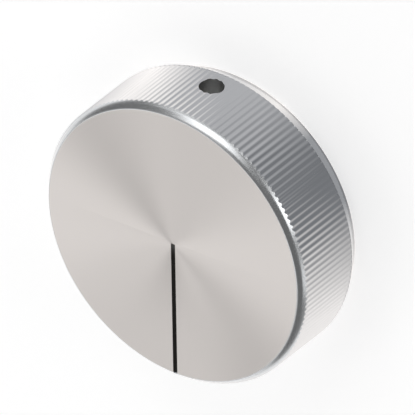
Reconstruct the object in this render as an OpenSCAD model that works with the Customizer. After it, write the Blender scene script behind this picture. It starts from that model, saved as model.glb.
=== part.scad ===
// Solid turned control knob with a straight-knurled rim, a set screw and an engraved index line.
// Millimetres. The shaft axis is Z, the back face lies on Z = 0 and the index line points along +Y.

/* [Knob] */
// Diameter over the crests of the knurl
knob_d = 50; // [40:1:70]
// Height from the back face to the front face
knob_h = 16.2; // [15:0.1:24]

/* [Knurl] */
// Spacing of the ridges along the rim
knurl_pitch = 1; // [0.8:0.1:1.6]
// Depth from a ridge crest down to the groove beside it
knurl_depth = 0.15; // [0.1:0.05:0.35]
// Height of the plain bevelled band behind the knurl
band_h = 2.85; // [1:0.05:3.5]
// Radial width of the bevel on that band
band_bevel = 1.5; // [0.4:0.1:2]

/* [Front edge] */
// Radius of the rounding between the front face and the rim
front_round_r = 2.3; // [1:0.1:3]
// Distance that the full quarter circle of the rounding would reach past the knurl crests
front_round_past = 0.2; // [0.1:0.05:0.6]

/* [Shaft bore] */
// Diameter of the shaft that the knob goes on
shaft_d = 6; // [4:0.05:8]
// Gap between the shaft and the wall of the bore
shaft_gap = 0.025; // [0.01:0.005:0.05]
// Depth of the full diameter of the bore
bore_depth = 11.5; // [10:0.5:12]
// Point angle of the drill that leaves the end of the bore
drill_point_angle = 118; // [110:1:140]
// Width of the chamfer at the mouth of the bore
bore_chamfer = 0.5; // [0.2:0.1:1]

/* [Set screw] */
// Thread diameter of the set screw
screw_d = 4; // [3:0.5:5]
// Length of the set screw
screw_length = 8; // [5:1:12]
// Height of the screw's axis above the back face
screw_z = 6.5; // [6:0.1:8]
// Angle round the rim from the index line to the screw
screw_angle = 177.8; // [150:0.1:210]
// Gap between the thread of the screw and its hole
screw_gap = 0.05; // [0.02:0.01:0.1]
// Distance that the tip is backed off from the bore
screw_back_off = 0.3; // [0.1:0.1:1]
// Width of the chamfer on both ends of the screw
screw_chamfer = 0.5; // [0.2:0.1:0.8]
// Width across the flats of the key socket
socket_across_flats = 2; // [1.3:0.1:2.5]
// Depth of the key socket
socket_depth = 2.5; // [1.5:0.5:4]

/* [Index line] */
// Width of the engraved line
line_w = 0.8; // [0.5:0.1:1.5]
// Depth of the engraved line
line_depth = 0.5; // [0.2:0.05:0.6]
// Diameter of the disc cutter, which leaves the sloping inner end
cutter_d = 16; // [10:1:24]
// Distance that the inner end of the line reaches past the centre of the face
line_past = 0.45; // [0:0.05:2]
// Drop from the face to the surface of the paint in the line
paint_drop = 0.1; // [0.05:0.05:0.15]

/* [Hidden] */
$fn = 96;

knob_r = knob_d / 2;
bore_r = shaft_d / 2 + shaft_gap;

// The ridges come in fours, so the outline is the same on all four sides.
ridge_count = 4 * round(PI * knob_d / knurl_pitch / 4);
ridge_step = 360 / ridge_count;
root_r = knob_r - knurl_depth;

// A rolled knurl raises its crests as far over the blank as it presses its grooves into it.
blank_r = knob_r - knurl_depth / 2;

// The rounding starts level with the face and is cut short by the knurl, at an angle.
face_r = knob_r + front_round_past - front_round_r;

hole_d = screw_d + 2 * screw_gap;
screw_tip_r = bore_r + screw_back_off;

// The cutter sinks by the depth of the line, so its arc leaves the face this far from its centre.
run_out = sqrt(line_depth * (cutter_d - line_depth));
full_depth_y = run_out - line_past;

// Cuts run past the faces that they open by this much.
overcut = 1;

// Half outline of the face and its rounding, which runs on past the crests that it cuts.
module front_outline() {
    square([face_r, knob_h]);
    square([face_r + front_round_r, knob_h - front_round_r]);
    translate([face_r, knob_h - front_round_r])
        intersection() {
            circle(r = front_round_r);
            square(2 * front_round_r);
        }
}

// Toothed outline of the knurl, with one root and one crest for each ridge.
module knurl_outline() {
    polygon([
        for (i = [0 : ridge_count - 1], half = [0, 1])
            let (r = half == 0 ? root_r : knob_r, a = (i + half / 2) * ridge_step)
                [r * cos(a), r * sin(a)]
    ]);
}

// Plain band behind the knurl, bevelled towards the back face.
module rear_band() {
    rotate_extrude()
        polygon([[0, 0], [blank_r - band_bevel, 0], [blank_r, band_h], [0, band_h]]);
}

// Knurled length of the knob, rounded at the front.
module knurled_rim() {
    intersection() {
        translate([0, 0, band_h])
            linear_extrude(height = knob_h - band_h)
                knurl_outline();
        rotate_extrude()
            front_outline();
    }
}

// Blind bore for the shaft, opened from the back, with a drilled point and a chamfered mouth.
module shaft_bore() {
    point_h = bore_r / tan(drill_point_angle / 2);
    mouth_r = bore_r + bore_chamfer;
    rotate_extrude()
        polygon([
            [0, -overcut],
            [mouth_r, -overcut],
            [mouth_r, 0],
            [bore_r, bore_chamfer],
            [bore_r, bore_depth],
            [0, bore_depth + point_h]
        ]);
}

// Puts a shape that stands on the XY plane on the screw's axis, at a distance from the shaft axis.
module along_screw(from_r) {
    rotate([0, 0, screw_angle])
        translate([0, from_r, screw_z])
            rotate([-90, 0, 0])
                children();
}

// Path of the disc cutter: it sinks in near the centre and runs out over the rounding.
module line_groove() {
    floor_z = knob_h - line_depth;
    translate([-line_w / 2, full_depth_y, floor_z])
        cube([line_w, knob_r + overcut - full_depth_y, line_depth + overcut]);
    translate([-line_w / 2, full_depth_y, floor_z + cutter_d / 2])
        rotate([0, 90, 0])
            cylinder(d = cutter_d, h = line_w);
}

// Turned body: one piece of aluminium.
module knob_body() {
    color([0.78, 0.77, 0.76])
        difference() {
            union() {
                rear_band();
                knurled_rim();
            }
            shaft_bore();
            along_screw(0)
                cylinder(d = hole_d, h = knob_r + overcut);
            line_groove();
        }
}

// Set screw in its tapped hole, with a key socket at its outer end.
module grub_screw() {
    screw_r = screw_d / 2;
    end_r = screw_r - screw_chamfer;
    color([0.2, 0.2, 0.21])
        along_screw(screw_tip_r)
            difference() {
                rotate_extrude()
                    polygon([
                        [0, 0],
                        [end_r, 0],
                        [screw_r, screw_chamfer],
                        [screw_r, screw_length - screw_chamfer],
                        [end_r, screw_length],
                        [0, screw_length]
                    ]);
                translate([0, 0, screw_length - socket_depth])
                    cylinder(d = socket_across_flats / cos(30), h = socket_depth + overcut, $fn = 6);
            }
}

// Black paint in the engraved line, a little below the face all the way to the rim.
module index_line() {
    color([0.07, 0.06, 0.05])
        intersection() {
            line_groove();
            translate([0, 0, -paint_drop])
                rotate_extrude()
                    front_outline();
        }
}

knob_body();
grub_screw();
index_line();
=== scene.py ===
from math import acos, atan2, cos, pi, radians, sin, sqrt, tan

import bmesh
import bpy
from mathutils import Matrix, Vector


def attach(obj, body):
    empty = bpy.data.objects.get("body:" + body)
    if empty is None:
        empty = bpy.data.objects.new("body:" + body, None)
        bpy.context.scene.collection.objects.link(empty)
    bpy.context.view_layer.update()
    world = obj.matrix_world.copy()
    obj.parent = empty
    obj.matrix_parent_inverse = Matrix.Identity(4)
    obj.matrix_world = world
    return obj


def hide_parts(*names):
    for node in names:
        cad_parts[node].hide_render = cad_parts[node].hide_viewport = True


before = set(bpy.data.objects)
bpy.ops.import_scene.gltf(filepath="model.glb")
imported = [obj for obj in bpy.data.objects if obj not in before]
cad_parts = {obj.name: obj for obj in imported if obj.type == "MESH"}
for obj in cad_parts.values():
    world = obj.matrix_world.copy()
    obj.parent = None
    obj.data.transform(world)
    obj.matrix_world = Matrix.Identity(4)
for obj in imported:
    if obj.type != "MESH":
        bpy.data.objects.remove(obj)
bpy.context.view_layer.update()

# Knob body, blank: aluminium bar turned in one clamping, with a flat face, a slightly bulging
# chamfer in front, a plain bevelled band at the back, and a shaft bore drilled from the back.
# The half outline is drawn from the face to the drill point and spun round the shaft axis.
mm = 0.001
knob_r, knob_h = 25 * mm, 16.2 * mm
ridge_count, ridge_depth, cuts_per_ridge = 156, 0.15 * mm, 12
band_h, band_bevel = 2.85 * mm, 1.5 * mm
bulge_r, bulge_steps = 4.4 * mm, 12
corner_r, corner_steps = 0.3 * mm, 6
crest_z, crest_slope = 14.87 * mm, radians(62)
flat_lead = 0.2 * mm
bore_r, bore_depth, bore_chamfer = 3.025 * mm, 11.5 * mm, 0.5 * mm
drill_half_angle = radians(59)
break_in, break_out, break_h = 0.06 * mm, 0.04 * mm, 0.08 * mm

blank_r = knob_r - ridge_depth / 2
knurl_reach = 1.3 * ridge_depth
bulge_mid_r = knob_r - bulge_r * sin(crest_slope)
bulge_mid_z = crest_z - bulge_r * cos(crest_slope)


def chamfer_z(r):
    """Height of the bulging chamfer at a distance from the axis."""
    return bulge_mid_z + sqrt(bulge_r ** 2 - (r - bulge_mid_r) ** 2)


# A tight corner leads from the face into the chamfer and meets both at a tangent.
corner_mid_z = knob_h - corner_r
corner_mid_r = bulge_mid_r + sqrt((bulge_r - corner_r) ** 2 - (corner_mid_z - bulge_mid_z) ** 2)
corner_slope = atan2(corner_mid_r - bulge_mid_r, corner_mid_z - bulge_mid_z)
outline = [(corner_mid_r - flat_lead, knob_h)]
for i in range(corner_steps + 1):
    a = corner_slope * i / corner_steps
    outline.append((corner_mid_r + corner_r * sin(a), corner_mid_z + corner_r * cos(a)))
bulge_from = bulge_mid_r + bulge_r * sin(corner_slope)
bulge_to = knob_r - knurl_reach
for i in range(1, bulge_steps + 1):
    r = bulge_from + (bulge_to - bulge_from) * i / bulge_steps
    outline.append((r, chamfer_z(r)))
outline += [
    (knob_r, chamfer_z(knob_r)),
    (knob_r, band_h),
    (blank_r, band_h),
    (blank_r - band_bevel + break_out, break_h),
    (blank_r - band_bevel - break_in, 0),
    (bore_r + bore_chamfer, 0),
    (bore_r, bore_chamfer),
    (bore_r, bore_depth),
    (0, bore_depth + bore_r / tan(drill_half_angle)),
]

body_mesh = bmesh.new()
points = [body_mesh.verts.new((r, 0, z)) for r, z in outline]
lines = [body_mesh.edges.new(pair) for pair in zip(points, points[1:])]
ridge_angle = 2 * pi / ridge_count
bmesh.ops.spin(
    body_mesh,
    geom=points + lines,
    cent=(0, 0, 0),
    axis=(0, 0, 1),
    angle=ridge_angle,
    steps=cuts_per_ridge,
)

# Knob body, knurl: straight ridges rolled into the rim by a toothed wheel, wave-shaped in
# section, cut off by the chamfer in front and ending square above the band.
# One ridge is shaped on a sector of the blank, and the sector is repeated round the axis.
hair = 1e-6
for v in body_mesh.verts:
    if v.co.xy.length < knob_r - hair:
        continue
    phase = atan2(v.co.y, v.co.x) / ridge_angle
    rise = (1 - cos(2 * pi * phase)) / 2
    ridge_r = knob_r - ridge_depth * (1 - rise)
    if v.co.z > knob_h / 2:
        v.co.z = chamfer_z(ridge_r)
    v.co.xy *= ridge_r / v.co.xy.length
bmesh.ops.spin(
    body_mesh,
    geom=body_mesh.verts[:] + body_mesh.edges[:] + body_mesh.faces[:],
    cent=(0, 0, 0),
    axis=(0, 0, 1),
    angle=2 * pi - ridge_angle,
    steps=ridge_count - 1,
    use_duplicate=True,
)
bmesh.ops.remove_doubles(body_mesh, verts=body_mesh.verts, dist=2 * hair)
face_ring = [
    e for e in body_mesh.edges
    if e.is_boundary and all(v.co.z > knob_h - hair for v in e.verts)
]
bmesh.ops.contextual_create(body_mesh, geom=face_ring)
bmesh.ops.recalc_face_normals(body_mesh, faces=body_mesh.faces)


def piece_from(shape, name):
    """Turns a finished bmesh into an object at the origin."""
    data = bpy.data.meshes.new(name)
    shape.to_mesh(data)
    shape.free()
    obj = bpy.data.objects.new(name, data)
    bpy.context.scene.collection.objects.link(obj)
    return obj


knob = piece_from(body_mesh, "turned_knob")

# Knob body, cuts: the tapped hole for the set screw is drilled from the rim into the bore, and
# a thin disc cutter sinks in at the centre of the face and runs out through the rim.
line_turn, screw_from_line = 90, 177.8
hole_r, hole_z, hole_sides = 2.05 * mm, 6.5 * mm, 72
line_w, line_depth, line_past = 0.8 * mm, 0.5 * mm, 0.45 * mm
cutter_r, cutter_steps = 8 * mm, 40
past = 2 * mm
sharp_angle = radians(28)

hole_turn = radians(line_turn + screw_from_line)
hole_out = Vector((cos(hole_turn), sin(hole_turn), 0))
hole_start = Vector((0, 0, hole_z))
hole_place = Matrix.Translation(hole_start) @ hole_out.to_track_quat("Z", "X").to_matrix().to_4x4()
drill_mesh = bmesh.new()
bmesh.ops.create_cone(
    drill_mesh,
    cap_ends=True,
    segments=hole_sides,
    radius1=hole_r,
    radius2=hole_r,
    depth=knob_r + past,
    matrix=hole_place @ Matrix.Translation((0, 0, (knob_r + past) / 2)),
)
drill = piece_from(drill_mesh, "drill")

full_depth_y = sqrt(line_depth * (2 * cutter_r - line_depth)) - line_past
groove_mesh = bmesh.new()
deepest = groove_mesh.verts.new((-line_w / 2, full_depth_y, knob_h - line_depth))
sweep = bmesh.ops.spin(
    groove_mesh,
    geom=[deepest],
    cent=(0, full_depth_y, knob_h - line_depth + cutter_r),
    axis=(1, 0, 0),
    angle=-acos(1 - (line_depth + past) / cutter_r),
    steps=cutter_steps,
)
top_inner = [v for v in sweep["geom_last"] if isinstance(v, bmesh.types.BMVert)][0]
rim_low = groove_mesh.verts.new((-line_w / 2, knob_r + past, knob_h - line_depth))
rim_high = groove_mesh.verts.new((-line_w / 2, knob_r + past, knob_h + past))
for pair in ((deepest, rim_low), (rim_low, rim_high), (rim_high, top_inner)):
    groove_mesh.edges.new(pair)
side = bmesh.ops.contextual_create(groove_mesh, geom=groove_mesh.edges[:])["faces"]
across = bmesh.ops.extrude_face_region(groove_mesh, geom=side)["geom"]
bmesh.ops.translate(
    groove_mesh,
    verts=[v for v in across if isinstance(v, bmesh.types.BMVert)],
    vec=(line_w, 0, 0),
)
bmesh.ops.recalc_face_normals(groove_mesh, faces=groove_mesh.faces)
cutter = piece_from(groove_mesh, "disc_cutter")

for tool in (drill, cutter):
    cut = knob.modifiers.new(tool.name, "BOOLEAN")
    cut.operation = "DIFFERENCE"
    cut.solver = "EXACT"
    cut.object = tool
cut_knob = knob.evaluated_get(bpy.context.evaluated_depsgraph_get())
cut_mesh = bpy.data.meshes.new_from_object(cut_knob)
knob.modifiers.clear()
knob.data = cut_mesh
knob.data.name = "turned_knob"
for tool in (drill, cutter):
    bpy.data.objects.remove(tool)
knob.data.shade_smooth()
knob.data.set_sharp_from_angle(angle=sharp_angle)

# Knob body, finish: fine turning on the face, whose circular lay draws the light out into rays
# from the centre, burnished metal on the chamfer tinted bluer and darker as a painted reflection
# of the dark band it mirrors, bright metal on the rolled knurl and the plain band, and cut metal in
# the hole, darker as painted shade.


def new_material(name):
    """A material with an empty node tree apart from its shader and output."""
    mat = bpy.data.materials.new(name)
    mat.use_nodes = True
    return mat, mat.node_tree.nodes, mat.node_tree.links, mat.node_tree.nodes["Principled BSDF"]


def add(nodes, kind, **values):
    """A node with its own settings."""
    node = nodes.new(kind)
    for key, value in values.items():
        setattr(node, key, value)
    return node


def grain(nodes, links, vector, scale, detail):
    """Noise of a given fineness over a piece."""
    noise = add(nodes, "ShaderNodeTexNoise")
    noise.inputs["Scale"].default_value = scale
    noise.inputs["Detail"].default_value = detail
    links.new(vector, noise.inputs["Vector"])
    return noise.outputs["Fac"]


def rough_by(nodes, links, pattern, low, high):
    """Roughness that follows a pattern between two values."""
    spread = add(nodes, "ShaderNodeMapRange")
    spread.inputs["To Min"].default_value = low
    spread.inputs["To Max"].default_value = high
    links.new(pattern, spread.inputs["Value"])
    return spread.outputs[0]


def tone_by(nodes, links, pattern, first, second):
    """Colour that follows a pattern between two tones."""
    blend = add(nodes, "ShaderNodeMix", data_type="RGBA")
    blend.inputs["A"].default_value = (*first, 1)
    blend.inputs["B"].default_value = (*second, 1)
    links.new(pattern, blend.inputs["Factor"])
    return blend.outputs["Result"]


# The lay runs round the axis, and its rings are noise along the radius in millimetres.
turned, nodes, links, shader = new_material("turned_aluminium")
shader.inputs["Metallic"].default_value = 1
shader.inputs["Anisotropic"].default_value = 0.88
place = add(nodes, "ShaderNodeTexCoord")
lay = add(nodes, "ShaderNodeVectorMath", operation="CROSS_PRODUCT")
lay.inputs[1].default_value = (0, 0, 1)
links.new(place.outputs["Object"], lay.inputs[0])
lay_unit = add(nodes, "ShaderNodeVectorMath", operation="NORMALIZE")
links.new(lay.outputs[0], lay_unit.inputs[0])
links.new(lay_unit.outputs[0], shader.inputs["Tangent"])
radius = add(nodes, "ShaderNodeVectorMath", operation="LENGTH")
links.new(lay.outputs[0], radius.inputs[0])
radius_mm = add(nodes, "ShaderNodeMath", operation="MULTIPLY")
radius_mm.inputs[1].default_value = 1 / mm
links.new(radius.outputs["Value"], radius_mm.inputs[0])
rings = add(nodes, "ShaderNodeTexNoise", noise_dimensions="1D")
rings.inputs["Scale"].default_value = 9
rings.inputs["Detail"].default_value = 3
links.new(radius_mm.outputs[0], rings.inputs["W"])
burnish_and_reflection_tint = add(nodes, "ShaderNodeMapRange", interpolation_type="SMOOTHSTEP")
burnish_and_reflection_tint.inputs["From Min"].default_value = 23.75
burnish_and_reflection_tint.inputs["From Max"].default_value = 23.95
links.new(radius_mm.outputs[0], burnish_and_reflection_tint.inputs["Value"])
edge_rough = add(nodes, "ShaderNodeMix", data_type="FLOAT")
edge_rough.inputs["B"].default_value = 0.22
links.new(burnish_and_reflection_tint.outputs[0], edge_rough.inputs["Factor"])
links.new(rough_by(nodes, links, rings.outputs["Fac"], 0.35, 0.41), edge_rough.inputs["A"])
links.new(edge_rough.outputs["Result"], shader.inputs["Roughness"])
ring_tone = tone_by(nodes, links, rings.outputs["Fac"], (0.845, 0.80, 0.771), (0.874, 0.828, 0.798))
# Painted reflection: towards the rim the chamfer's metal is tinted bluer and darker, standing in
# for the bluish dark band it mirrors. The smoother roughness there is the real burnished finish.
painted_reflection_tone = add(nodes, "ShaderNodeMix", data_type="RGBA")
painted_reflection_tone.inputs["B"].default_value = (0.77, 0.785, 0.80, 1)
links.new(burnish_and_reflection_tint.outputs[0], painted_reflection_tone.inputs["Factor"])
links.new(ring_tone, painted_reflection_tone.inputs["A"])
links.new(painted_reflection_tone.outputs["Result"], shader.inputs["Base Color"])
ring_bump = add(nodes, "ShaderNodeBump")
ring_bump.inputs["Strength"].default_value = 0.03
ring_bump.inputs["Distance"].default_value = 0.005 * mm
links.new(rings.outputs["Fac"], ring_bump.inputs["Height"])
links.new(ring_bump.outputs["Normal"], shader.inputs["Normal"])

rolled, nodes, links, shader = new_material("rolled_knurl")
shader.inputs["Metallic"].default_value = 1
place = add(nodes, "ShaderNodeTexCoord")
stretch = add(nodes, "ShaderNodeMapping")
stretch.inputs["Scale"].default_value = (9000, 9000, 300)
links.new(place.outputs["Object"], stretch.inputs["Vector"])
streaks = grain(nodes, links, stretch.outputs[0], scale=1, detail=2)
streak_tone = tone_by(nodes, links, streaks, (0.77, 0.77, 0.775), (0.835, 0.835, 0.84))
links.new(streak_tone, shader.inputs["Base Color"])
links.new(rough_by(nodes, links, streaks, 0.10, 0.17), shader.inputs["Roughness"])

tapped, nodes, links, shader = new_material("tapped_aluminium")
shader.inputs["Metallic"].default_value = 1
place = add(nodes, "ShaderNodeTexCoord")
# Painted shade: the metal in the hole is darker than the rest of the knob, for the shade deep
# inside it, with a random mottle across it.
hole_grain = grain(nodes, links, place.outputs["Object"], scale=900, detail=3)
painted_hole_shade = tone_by(nodes, links, hole_grain, (0.62, 0.62, 0.615), (0.80, 0.80, 0.79))
links.new(painted_hole_shade, shader.inputs["Base Color"])
links.new(rough_by(nodes, links, hole_grain, 0.25, 0.45), shader.inputs["Roughness"])

finishes = (turned, rolled, tapped)
for finish in finishes:
    knob.data.materials.append(finish)
rim_depth, bore_margin = 0.3 * mm, 0.2 * mm
hole_reach, band_reach = 1.01 * hole_r, 1.05 * band_bevel
upright_lean, bevel_lean, hole_lean = 0.3, 0.6, 0.1
for face in knob.data.polygons:
    from_axis = face.center.xy.length
    lean = abs(face.normal.z)
    off_hole = (face.center - hole_start).cross(hole_out).length
    past_bore = face.center.dot(hole_out) > bore_r + bore_margin
    along_hole = off_hole < hole_reach and abs(face.normal.dot(hole_out)) < hole_lean
    on_rim = lean < upright_lean and from_axis > knob_r - rim_depth
    behind_knurl = face.center.z < band_h and from_axis > blank_r - band_reach
    if along_hole and past_bore:
        finish = tapped
    elif on_rim or behind_knurl and lean < bevel_lean:
        finish = rolled
    else:
        finish = turned
    face.material_index = finishes.index(finish)
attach(knob, "root")
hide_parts("knob_body")

# Thread in the set screw's hole: cut with an M4 tap, a sharp helical ridge of the same metal.
# It runs from the screw outwards, and the hole is opened out plain from there to the rim.
thread_pitch, thread_steps = 0.7 * mm, 36
thread_root_r, thread_crest_r = hole_r + 0.03 * mm, 1.68 * mm
thread_from, thread_to = 11.7 * mm, 20.3 * mm
turns = int((thread_to - thread_from) / thread_pitch)

thread_mesh = bmesh.new()
section = [
    thread_mesh.verts.new((r, 0, thread_from + share * thread_pitch))
    for r, share in (
        (thread_root_r, 0),
        (thread_crest_r, 0.42),
        (thread_crest_r, 0.54),
        (thread_root_r, 0.96),
    )
]
ridge = [thread_mesh.edges.new(pair) for pair in zip(section, section[1:] + section[:1])]
end = bmesh.ops.spin(
    thread_mesh,
    geom=section + ridge,
    cent=(0, 0, 0),
    axis=(0, 0, 1),
    dvec=(0, 0, thread_pitch / thread_steps),
    angle=2 * pi * turns,
    steps=thread_steps * turns,
)["geom_last"]
bmesh.ops.contextual_create(thread_mesh, geom=ridge)
bmesh.ops.contextual_create(thread_mesh, geom=[e for e in end if isinstance(e, bmesh.types.BMEdge)])
bmesh.ops.recalc_face_normals(thread_mesh, faces=thread_mesh.faces)
bmesh.ops.transform(thread_mesh, matrix=hole_place, verts=thread_mesh.verts)
thread = piece_from(thread_mesh, "tapped_thread")
thread.data.shade_smooth()
thread.data.set_sharp_from_angle(angle=sharp_angle)
thread.data.materials.append(tapped)
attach(thread, "root")

# Set screw: an M4 hex-socket set screw in black oxide steel, deep in its hole.
# The turned and broached solid of the frame is right, so it only gets its finish.
oxide, nodes, links, shader = new_material("black_oxide")
shader.inputs["Metallic"].default_value = 0.7
place = add(nodes, "ShaderNodeTexCoord")
mottle = grain(nodes, links, place.outputs["Object"], scale=2500, detail=4)
oxide_tone = tone_by(nodes, links, mottle, (0.035, 0.035, 0.04), (0.10, 0.10, 0.105))
links.new(oxide_tone, shader.inputs["Base Color"])
links.new(rough_by(nodes, links, mottle, 0.3, 0.5), shader.inputs["Roughness"])


def refinish(node, material):
    """Gives a solid of the frame its finish."""
    node.data.materials.clear()
    node.data.materials.append(material)


refinish(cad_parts["grub_screw"], oxide)

# Index line: matt black enamel wiped into the engraved line, a little below the face.
# The solid of the frame is right, so it only gets its finish: full black from the rim inwards,
# and greyer on the sloping inner end as a painted sheen where that slope catches the light.
paint, nodes, links, shader = new_material("black_enamel")
shader.inputs["Specular IOR Level"].default_value = 0.1
place = add(nodes, "ShaderNodeTexCoord")
specks = grain(nodes, links, place.outputs["Object"], scale=4000, detail=3)
along_line = add(nodes, "ShaderNodeSeparateXYZ")
links.new(place.outputs["Object"], along_line.inputs[0])
painted_sheen_end = add(nodes, "ShaderNodeMapRange", interpolation_type="SMOOTHSTEP")
painted_sheen_end.inputs["From Min"].default_value = -0.6 * mm
painted_sheen_end.inputs["From Max"].default_value = 2.2 * mm
links.new(along_line.outputs["Y"], painted_sheen_end.inputs["Value"])
full_tone = tone_by(nodes, links, specks, (0.007, 0.006, 0.005), (0.018, 0.016, 0.014))
# Painted sheen: the enamel turns grey towards the line's inner end, for the light caught on its
# sloping floor.
enamel_and_sheen_tone = add(nodes, "ShaderNodeMix", data_type="RGBA")
enamel_and_sheen_tone.inputs["A"].default_value = (0.10, 0.098, 0.095, 1)
links.new(full_tone, enamel_and_sheen_tone.inputs["B"])
links.new(painted_sheen_end.outputs[0], enamel_and_sheen_tone.inputs["Factor"])
links.new(enamel_and_sheen_tone.outputs["Result"], shader.inputs["Base Color"])
links.new(rough_by(nodes, links, specks, 0.5, 0.7), shader.inputs["Roughness"])
refinish(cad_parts["index_line"], paint)

# Floor: plain white board under the knob.
# It is lifted to white where it is looked at or mirrored, and it keeps the knob's soft shadow.
floor_half, floor_drop, floor_lift = 3, 0.02 * mm, 0.52

floor_mesh = bmesh.new()
bmesh.ops.create_grid(floor_mesh, x_segments=1, y_segments=1, size=floor_half)
bmesh.ops.translate(floor_mesh, verts=floor_mesh.verts, vec=(0, 0, -floor_drop))
floor = piece_from(floor_mesh, "floor")
board, nodes, links, shader = new_material("white_board")
shader.inputs["Base Color"].default_value = (0.85, 0.85, 0.85, 1)
shader.inputs["Roughness"].default_value = 0.9
shader.inputs["Specular IOR Level"].default_value = 0
shader.inputs["Emission Color"].default_value = (1, 1, 1, 1)
seen = add(nodes, "ShaderNodeLightPath")
direct = add(nodes, "ShaderNodeMath", operation="MAXIMUM")
links.new(seen.outputs["Is Camera Ray"], direct.inputs[0])
links.new(seen.outputs["Is Glossy Ray"], direct.inputs[1])
mirrored = add(nodes, "ShaderNodeMath", operation="MAXIMUM")
links.new(direct.outputs[0], mirrored.inputs[0])
links.new(seen.outputs["Is Transmission Ray"], mirrored.inputs[1])
lift = add(nodes, "ShaderNodeMath", operation="MULTIPLY")
lift.inputs[1].default_value = floor_lift
links.new(mirrored.outputs[0], lift.inputs[0])
links.new(lift.outputs[0], shader.inputs["Emission Strength"])
floor.data.materials.append(board)

# Grey cards: two graduated rings of card round the foot of the knob, a narrow one that the
# bevelled band mirrors and a wide one that the knurl mirrors.
# They stand for the dark and light sides of the room, and only reflections see them.
camera_turn = radians(227.95)
card_z, card_steps = 0.05 * mm, 180

# Each stop is an angle from the camera's side, in degrees, and a grey.
for name, inner, outer, greys_round in (
    ("card_near", 23.45 * mm, 25.3 * mm, (
        (-180, 1.05), (-60, 1.07), (-42, 0.78), (-28, 0.35), (0, 0.37),
        (18, 1.02), (40, 0.79), (60, 1.15), (180, 1.05),
    )),
    ("card_wide", 25.3 * mm, 90 * mm, (
        (-180, 1.1), (-75, 0.97), (-28, 0.23), (-8, 0.21), (28, 0.52),
        (50, 0.5), (76, 1.19), (113, 0.62), (150, 1.25), (180, 1.15),
    )),
):
    card_mesh = bmesh.new()
    card_edge = [card_mesh.verts.new((-r, 0, card_z)) for r in (inner, outer)]
    card_line = card_mesh.edges.new(card_edge)
    bmesh.ops.spin(
        card_mesh,
        geom=card_edge + [card_line],
        cent=(0, 0, 0),
        axis=(0, 0, 1),
        angle=2 * pi,
        steps=card_steps,
        use_merge=True,
    )
    bmesh.ops.recalc_face_normals(card_mesh, faces=card_mesh.faces)
    card = piece_from(card_mesh, name)
    card.visible_camera = False
    card.visible_diffuse = False
    card.visible_shadow = False
    greys, nodes, links, shader = new_material(name)
    nodes.remove(shader)
    place = add(nodes, "ShaderNodeTexCoord")
    turn_back = add(nodes, "ShaderNodeMapping", vector_type="POINT")
    turn_back.inputs["Rotation"].default_value = (0, 0, -camera_turn)
    links.new(place.outputs["Object"], turn_back.inputs["Vector"])
    split = add(nodes, "ShaderNodeSeparateXYZ")
    links.new(turn_back.outputs[0], split.inputs[0])
    angle = add(nodes, "ShaderNodeMath", operation="ARCTAN2")
    links.new(split.outputs["Y"], angle.inputs[0])
    links.new(split.outputs["X"], angle.inputs[1])
    along = add(nodes, "ShaderNodeMapRange")
    along.inputs["From Min"].default_value = -pi
    along.inputs["From Max"].default_value = pi
    links.new(angle.outputs[0], along.inputs["Value"])
    ramp = add(nodes, "ShaderNodeValToRGB")
    while len(ramp.color_ramp.elements) < len(greys_round):
        ramp.color_ramp.elements.new(0.5)
    # Dark card is a little blue, and light card a little warm.
    for element, (degrees, grey) in zip(ramp.color_ramp.elements, greys_round):
        element.position = (degrees + 180) / 360
        warmth = min(grey, 1)
        element.color = (grey * (0.94 + 0.09 * warmth), grey, grey * (1.09 - 0.11 * warmth), 1)
    links.new(along.outputs[0], ramp.inputs["Fac"])
    glow = add(nodes, "ShaderNodeEmission")
    links.new(ramp.outputs["Color"], glow.inputs["Color"])
    links.new(glow.outputs[0], nodes["Material Output"].inputs["Surface"])
    card.data.materials.append(greys)

# Studio: a dim grey room with a wide soft box overhead, smaller ones opposite the camera that
# the face mirrors, and others low and high on both sides that run along the chamfer and rim.
scene = bpy.context.scene
scene.view_settings.view_transform = "Standard"
room = bpy.data.worlds.new("room")
room.use_nodes = True
room.node_tree.nodes["Background"].inputs["Color"].default_value = (0.15, 0.15, 0.15, 1)
room.node_tree.nodes["Background"].inputs["Strength"].default_value = 1
scene.world = room
box_distance = 0.8

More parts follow.
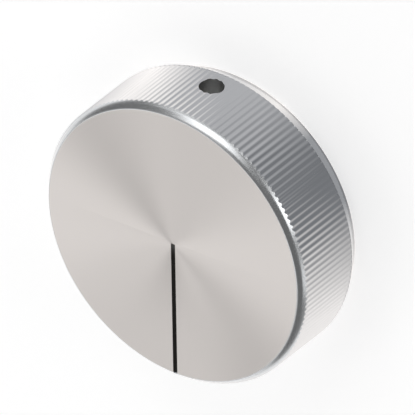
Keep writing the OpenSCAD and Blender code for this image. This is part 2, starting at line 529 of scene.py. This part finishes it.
# Turn from the camera's side and height are in degrees, width and length in metres.
for name, turn, height, width, length, brightness in (
    ("overhead", 180, 63.5, 2.56, 1.27, 0.29),
    ("far_middle", 180, 35, 0.40, 0.28, 0.40),
    ("far_left", 150, 56, 0.43, 0.37, 0.72),
    ("far_right", 210, 56, 0.43, 0.37, 0.30),
    ("far_left_low", 155, 12, 0.58, 0.34, 0.55),
    ("far_right_low", 203, 12, 0.65, 0.34, 0.71),
    ("right_high", 270, 62, 0.43, 0.37, 0.56),
    ("right_low", 288, 11, 0.25, 0.28, 0.94),
    ("left_high", 60, 56, 0.46, 0.37, 0.35),
    ("left", 45, 32, 0.52, 0.31, 1.58),
    ("left_low", 63, 11, 0.52, 0.28, 0.60),
    ("camera_left", 18, 11, 0.25, 0.28, 1.02),
    ("camera_right", 333, 22, 0.26, 0.20, 2.40),
):
    lamp = bpy.data.lights.new(name, "AREA")
    lamp.shape = "RECTANGLE"
    lamp.size, lamp.size_y = width, length
    lamp.energy = brightness * pi * width * length
    towards = Vector((
        cos(camera_turn + radians(turn)) * cos(radians(height)),
        sin(camera_turn + radians(turn)) * cos(radians(height)),
        sin(radians(height)),
    ))
    holder = bpy.data.objects.new(name, lamp)
    holder.location = towards * box_distance
    holder.rotation_euler = towards.to_track_quat("Z", "Y").to_euler()
    scene.collection.objects.link(holder)

# Camera: a parallel view, as of a very long lens, at the photograph's angle, rolled so that the
# index line hangs down, and moved aside so that the foot of the shaft axis is at its pixel.
tilt, roll = radians(47.7), radians(37.81)
pixels_per_metre, frame_pixels = 6390.7, 415
axis_foot = (233.4, 198.36)
distance = 0.5

outward = Vector((cos(camera_turn), sin(camera_turn), 0))
aside = Vector((sin(camera_turn), -cos(camera_turn), 0))
view = outward * sin(tilt) + Vector((0, 0, cos(tilt)))
along_tilt = outward * cos(tilt) - Vector((0, 0, sin(tilt)))
right = along_tilt * cos(roll) + aside * sin(roll)
up = along_tilt * sin(roll) - aside * cos(roll)
off_right = (axis_foot[0] - frame_pixels / 2) / pixels_per_metre
off_up = (frame_pixels / 2 - axis_foot[1]) / pixels_per_metre
lens = bpy.data.cameras.new("camera")
lens.type = "ORTHO"
lens.ortho_scale = frame_pixels / pixels_per_metre
camera = bpy.data.objects.new("camera", lens)
camera.matrix_world = Matrix.Translation(
    view * distance - right * off_right - up * off_up
) @ Matrix((right, up, view)).transposed().to_4x4()
scene.collection.objects.link(camera)
scene.camera = camera
